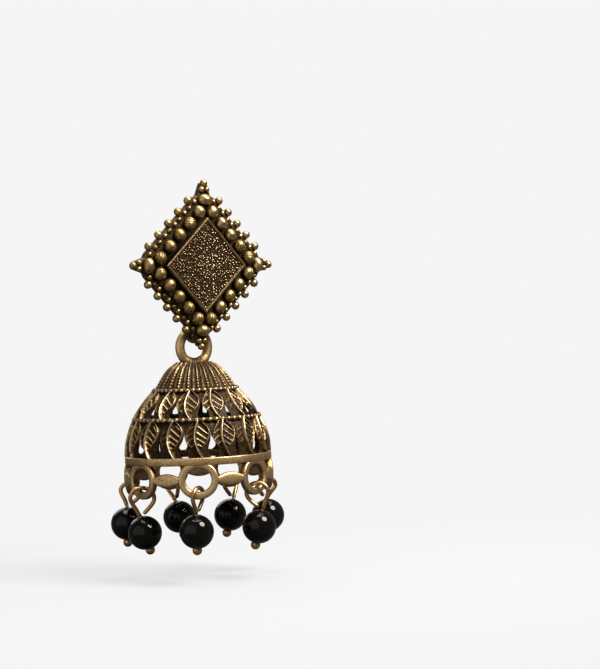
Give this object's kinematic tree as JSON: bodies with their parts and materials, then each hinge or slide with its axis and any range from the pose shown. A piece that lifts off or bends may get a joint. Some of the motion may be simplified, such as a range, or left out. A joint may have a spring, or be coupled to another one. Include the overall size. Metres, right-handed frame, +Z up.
{
  "type": "jhumka earring",
  "caption": "Jhumka drop earring in antique gold: a square granulated stud plate, a pierced leaf-pattern bell with a fluted cap, and black beads on head pins round its mouth",
  "frame": {"origin": "where the ear post leaves the socket on the back of the stud plate", "axes": "+Z up along the hanging earring; the front of the plate faces -Y; the post runs towards +Y"},
  "size_m": [0.0306, 0.0293, 0.0662],
  "materials": {
    "antique_gold": "oxidised, with a dark patina in the recesses and worn bright on the raised parts",
    "pin_gold": "bright drawn wire",
    "post_steel": "plain polished wire",
    "black_glass": "opaque black glass, polished"
  },
  "bodies": {
    "stud": {"stud_plate": "antique_gold", "ear_post": "post_steel"},
    "bell": {"bell": "antique_gold", "head_pin_1": "pin_gold", "head_pin_2": "pin_gold", "head_pin_3": "pin_gold", "head_pin_4": "pin_gold", "head_pin_5": "pin_gold", "head_pin_6": "pin_gold", "head_pin_7": "pin_gold", "bead_1": "black_glass", "bead_2": "black_glass", "bead_3": "black_glass", "bead_4": "black_glass", "bead_5": "black_glass", "bead_6": "black_glass", "bead_7": "black_glass"}
  },
  "joints": [
    {"name": "bell_swing", "type": "hinge", "parent": "stud", "child": "bell", "pos_m": [0, 0.00298, -0.0142], "axis": [1, 0, 0], "range_deg": [-45, 60]}
  ]
}
